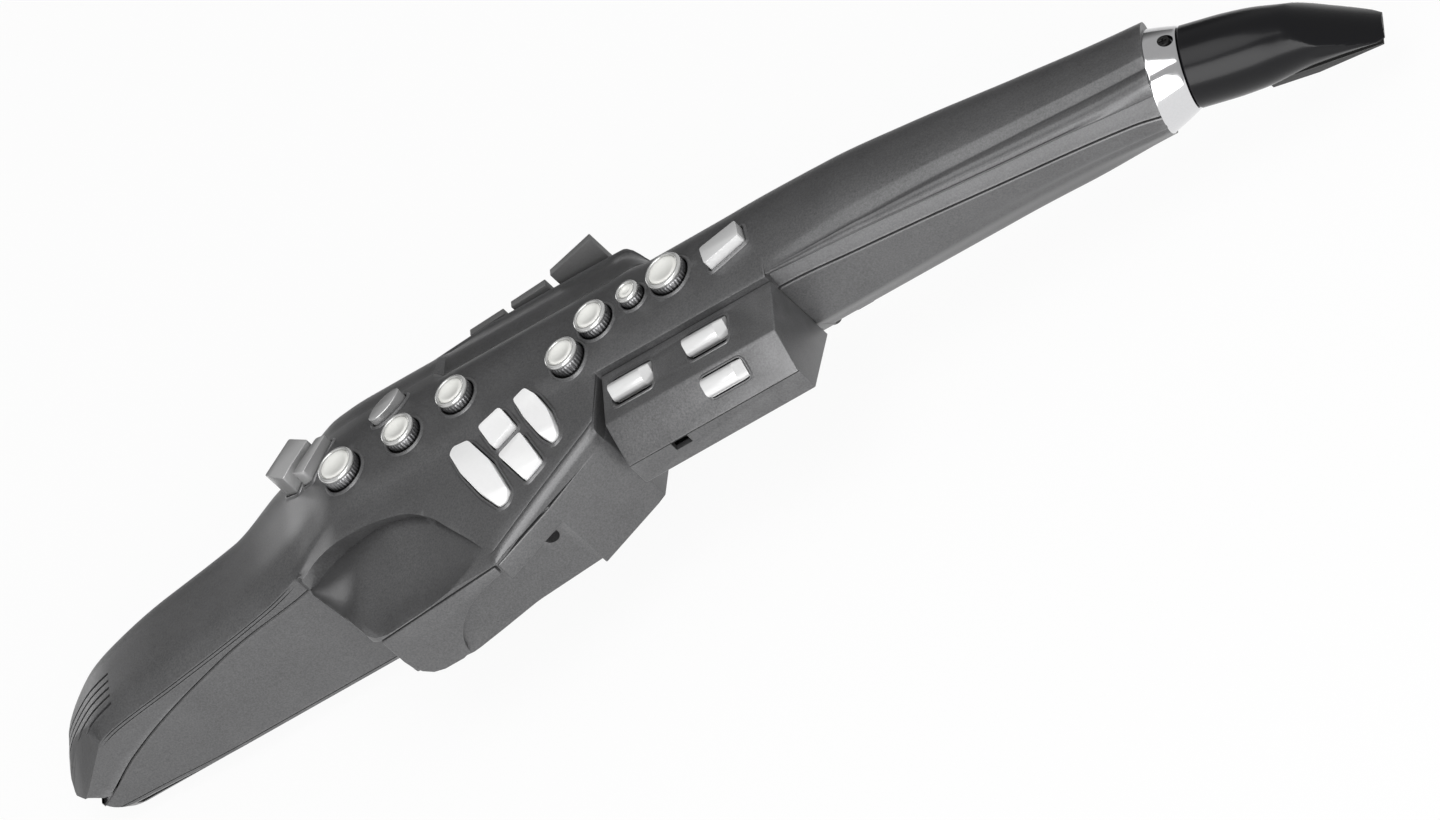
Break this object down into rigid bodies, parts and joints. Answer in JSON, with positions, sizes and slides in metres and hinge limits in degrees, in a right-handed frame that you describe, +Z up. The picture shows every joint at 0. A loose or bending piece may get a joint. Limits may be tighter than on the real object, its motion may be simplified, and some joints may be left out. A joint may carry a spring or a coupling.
{
  "type": "digital wind controller",
  "caption": "Saxophone-style electronic wind controller with breath mouthpiece, sprung keys, palm key housing, hand guard and sliding battery cover.",
  "frame": {"origin": "centre of the bounding box in plan, at the level of the flat face of the battery cover that it lies on", "axes": "+X along the body towards the mouthpiece, +Y towards the side keys (away from the player's right palm), +Z up out of the key face"},
  "size_m": [0.574, 0.127, 0.086],
  "materials": {
    "graphite_shell": "satin",
    "ring_chrome": "polished",
    "screw_steel": "blackened",
    "mouthpiece_black": "gloss",
    "reed_rubber": "satin",
    "tube_rubber": "matt",
    "frame_plastic": "matt",
    "circuit_board": "gloss",
    "socket_black": "satin",
    "port_steel": "satin",
    "speaker_steel": "satin",
    "cell_metal": "satin",
    "window_gloss": "gloss",
    "control_black": "satin",
    "eye_steel": "polished",
    "pearl_white": "satin",
    "table_white": "satin",
    "side_grey": "satin",
    "key_silver": "satin"
  },
  "bodies": {
    "instrument": {"front_shell": "graphite_shell", "rear_shell": "graphite_shell", "palm_housing": "graphite_shell", "hand_guard": "graphite_shell", "neck_ring": "ring_chrome", "ring_screw": "screw_steel", "breath_tube": "tube_rubber", "key_frame": "frame_plastic", "palm_key_frame": "frame_plastic", "key_board": "circuit_board", "main_board": "circuit_board", "headphone_jack": "socket_black", "usb_port": "port_steel", "power_inlet": "socket_black", "speaker": "speaker_steel", "battery_cells": "cell_metal", "display_window": "window_gloss", "thumb_plate": "control_black", "strap_eye": "eye_steel", "shell_screws": "screw_steel"},
    "key_b": {"key_b": "key_silver", "pearl_b": "pearl_white"},
    "key_bis": {"key_bis": "key_silver", "pearl_bis": "pearl_white"},
    "key_a": {"key_a": "key_silver", "pearl_a": "pearl_white"},
    "key_g": {"key_g": "key_silver", "pearl_g": "pearl_white"},
    "key_f": {"key_f": "key_silver", "pearl_f": "pearl_white"},
    "key_e": {"key_e": "key_silver", "pearl_e": "pearl_white"},
    "key_d": {"key_d": "key_silver", "pearl_d": "pearl_white"},
    "front_f_key": {"front_f_key": "key_silver"},
    "f_sharp_key": {"f_sharp_key": "key_silver"},
    "e_flat_key": {"e_flat_key": "key_silver"},
    "low_c_key": {"low_c_key": "key_silver"},
    "g_sharp_key": {"g_sharp_key": "table_white"},
    "c_sharp_key": {"c_sharp_key": "table_white"},
    "low_b_key": {"low_b_key": "table_white"},
    "low_b_flat_key": {"low_b_flat_key": "table_white"},
    "side_e_key": {"side_e_key": "side_grey"},
    "side_c_key": {"side_c_key": "side_grey"},
    "side_b_flat_key": {"side_b_flat_key": "side_grey"},
    "palm_key_1": {"palm_key_1": "key_silver"},
    "palm_key_2": {"palm_key_2": "key_silver"},
    "palm_key_3": {"palm_key_3": "key_silver"},
    "octave_key_1": {"octave_key_1": "control_black"},
    "octave_key_2": {"octave_key_2": "control_black"},
    "octave_key_3": {"octave_key_3": "control_black"},
    "octave_key_4": {"octave_key_4": "control_black"},
    "menu_button": {"menu_button": "control_black"},
    "enter_button": {"enter_button": "control_black"},
    "volume_knob": {"volume_knob": "control_black"},
    "power_switch": {"power_switch": "control_black"},
    "thumb_hook": {"thumb_hook": "control_black"},
    "battery_cover": {"battery_cover": "graphite_shell"},
    "mouthpiece": {"mouthpiece": "mouthpiece_black"},
    "reed": {"reed": "reed_rubber"}
  },
  "joints": [
    {"name": "key_b_press", "type": "slide", "parent": "instrument", "child": "key_b", "axis": [0, 0, -1], "range_m": [0, 0.002], "stiffness_N_per_m": 150, "springref_m": -0.002},
    {"name": "key_bis_press", "type": "slide", "parent": "instrument", "child": "key_bis", "axis": [0, 0, -1], "range_m": [0, 0.002], "stiffness_N_per_m": 150, "springref_m": -0.002},
    {"name": "key_a_press", "type": "slide", "parent": "instrument", "child": "key_a", "axis": [0, 0, -1], "range_m": [0, 0.002], "stiffness_N_per_m": 150, "springref_m": -0.002},
    {"name": "key_g_press", "type": "slide", "parent": "instrument", "child": "key_g", "axis": [0, 0, -1], "range_m": [0, 0.002], "stiffness_N_per_m": 150, "springref_m": -0.002},
    {"name": "key_f_press", "type": "slide", "parent": "instrument", "child": "key_f", "axis": [0, 0, -1], "range_m": [0, 0.002], "stiffness_N_per_m": 150, "springref_m": -0.002},
    {"name": "key_e_press", "type": "slide", "parent": "instrument", "child": "key_e", "axis": [0, 0, -1], "range_m": [0, 0.002], "stiffness_N_per_m": 150, "springref_m": -0.002},
    {"name": "key_d_press", "type": "slide", "parent": "instrument", "child": "key_d", "axis": [0, 0, -1], "range_m": [0, 0.002], "stiffness_N_per_m": 150, "springref_m": -0.002},
    {"name": "front_f_key_press", "type": "slide", "parent": "instrument", "child": "front_f_key", "axis": [0, 0, -1], "range_m": [0, 0.002], "stiffness_N_per_m": 150, "springref_m": -0.002},
    {"name": "f_sharp_key_press", "type": "slide", "parent": "instrument", "child": "f_sharp_key", "axis": [0, 0, -1], "range_m": [0, 0.002], "stiffness_N_per_m": 150, "springref_m": -0.002},
    {"name": "e_flat_key_press", "type": "slide", "parent": "instrument", "child": "e_flat_key", "axis": [0, 0, -1], "range_m": [0, 0.002], "stiffness_N_per_m": 150, "springref_m": -0.002},
    {"name": "low_c_key_press", "type": "slide", "parent": "instrument", "child": "low_c_key", "axis": [0, 0, -1], "range_m": [0, 0.002], "stiffness_N_per_m": 150, "springref_m": -0.002},
    {"name": "g_sharp_key_press", "type": "slide", "parent": "instrument", "child": "g_sharp_key", "axis": [0, 0, -1], "range_m": [0, 0.002], "stiffness_N_per_m": 150, "springref_m": -0.002},
    {"name": "c_sharp_key_press", "type": "slide", "parent": "instrument", "child": "c_sharp_key", "axis": [0, 0, -1], "range_m": [0, 0.002], "stiffness_N_per_m": 150, "springref_m": -0.002},
    {"name": "low_b_key_press", "type": "slide", "parent": "instrument", "child": "low_b_key", "axis": [0, 0, -1], "range_m": [0, 0.002], "stiffness_N_per_m": 150, "springref_m": -0.002},
    {"name": "low_b_flat_key_press", "type": "slide", "parent": "instrument", "child": "low_b_flat_key", "axis": [0, 0, -1], "range_m": [0, 0.002], "stiffness_N_per_m": 150, "springref_m": -0.002},
    {"name": "side_e_key_press", "type": "slide", "parent": "instrument", "child": "side_e_key", "axis": [0, -1, 0], "range_m": [0, 0.0012], "stiffness_N_per_m": 200, "springref_m": -0.002},
    {"name": "side_c_key_press", "type": "slide", "parent": "instrument", "child": "side_c_key", "axis": [0, -1, 0], "range_m": [0, 0.0012], "stiffness_N_per_m": 200, "springref_m": -0.002},
    {"name": "side_b_flat_key_press", "type": "slide", "parent": "instrument", "child": "side_b_flat_key", "axis": [0, -1, 0], "range_m": [0, 0.0012], "stiffness_N_per_m": 200, "springref_m": -0.002},
    {"name": "palm_key_1_press", "type": "slide", "parent": "instrument", "child": "palm_key_1", "axis": [0, 0.776, -0.6307], "range_m": [0, 0.002], "stiffness_N_per_m": 150, "springref_m": -0.002},
    {"name": "palm_key_2_press", "type": "slide", "parent": "instrument", "child": "palm_key_2", "axis": [0, 0.776, -0.6307], "range_m": [0, 0.002], "stiffness_N_per_m": 150, "springref_m": -0.002},
    {"name": "palm_key_3_press", "type": "slide", "parent": "instrument", "child": "palm_key_3", "axis": [0, 0.776, -0.6307], "range_m": [0, 0.002], "stiffness_N_per_m": 150, "springref_m": -0.002},
    {"name": "octave_key_1_press", "type": "slide", "parent": "instrument", "child": "octave_key_1", "axis": [0, 0, 1], "range_m": [0, 0.0015], "stiffness_N_per_m": 200, "springref_m": -0.002},
    {"name": "octave_key_2_press", "type": "slide", "parent": "instrument", "child": "octave_key_2", "axis": [0, 0, 1], "range_m": [0, 0.0015], "stiffness_N_per_m": 200, "springref_m": -0.002},
    {"name": "octave_key_3_press", "type": "slide", "parent": "instrument", "child": "octave_key_3", "axis": [0, 0, 1], "range_m": [0, 0.0015], "stiffness_N_per_m": 200, "springref_m": -0.002},
    {"name": "octave_key_4_press", "type": "slide", "parent": "instrument", "child": "octave_key_4", "axis": [0, 0, 1], "range_m": [0, 0.0015], "stiffness_N_per_m": 200, "springref_m": -0.002},
    {"name": "menu_button_press", "type": "slide", "parent": "instrument", "child": "menu_button", "axis": [0, 0, 1], "range_m": [0, 0.0008], "stiffness_N_per_m": 300, "springref_m": -0.002},
    {"name": "enter_button_press", "type": "slide", "parent": "instrument", "child": "enter_button", "axis": [0, 0, 1], "range_m": [0, 0.0008], "stiffness_N_per_m": 300, "springref_m": -0.002},
    {"name": "volume_turn", "type": "hinge", "parent": "instrument", "child": "volume_knob", "pos_m": [0.07399, 0.016, 0.035], "axis": [0, 0, 1], "range_deg": [-150, 150]},
    {"name": "power_slide", "type": "slide", "parent": "instrument", "child": "power_switch", "axis": [1, 0, 0], "range_m": [0, 0.004]},
    {"name": "hook_adjust", "type": "slide", "parent": "instrument", "child": "thumb_hook", "axis": [1, 0, 0], "range_m": [-0.005, 0.005]},
    {"name": "cover_slide", "type": "slide", "parent": "instrument", "child": "battery_cover", "axis": [-1, 0, 0], "range_m": [0, 0.03]},
    {"name": "mouthpiece_pull", "type": "slide", "parent": "instrument", "child": "mouthpiece", "axis": [0.9563, 0, -0.2924], "range_m": [0, 0.015]},
    {"name": "reed_flex", "type": "hinge", "parent": "mouthpiece", "child": "reed", "pos_m": [0.24349, 0.0115, 0.028], "axis": [0, -1, 0], "range_deg": [0, 1.8], "stiffness_Nm_per_rad": 2, "springref_deg": -1.15}
  ]
}
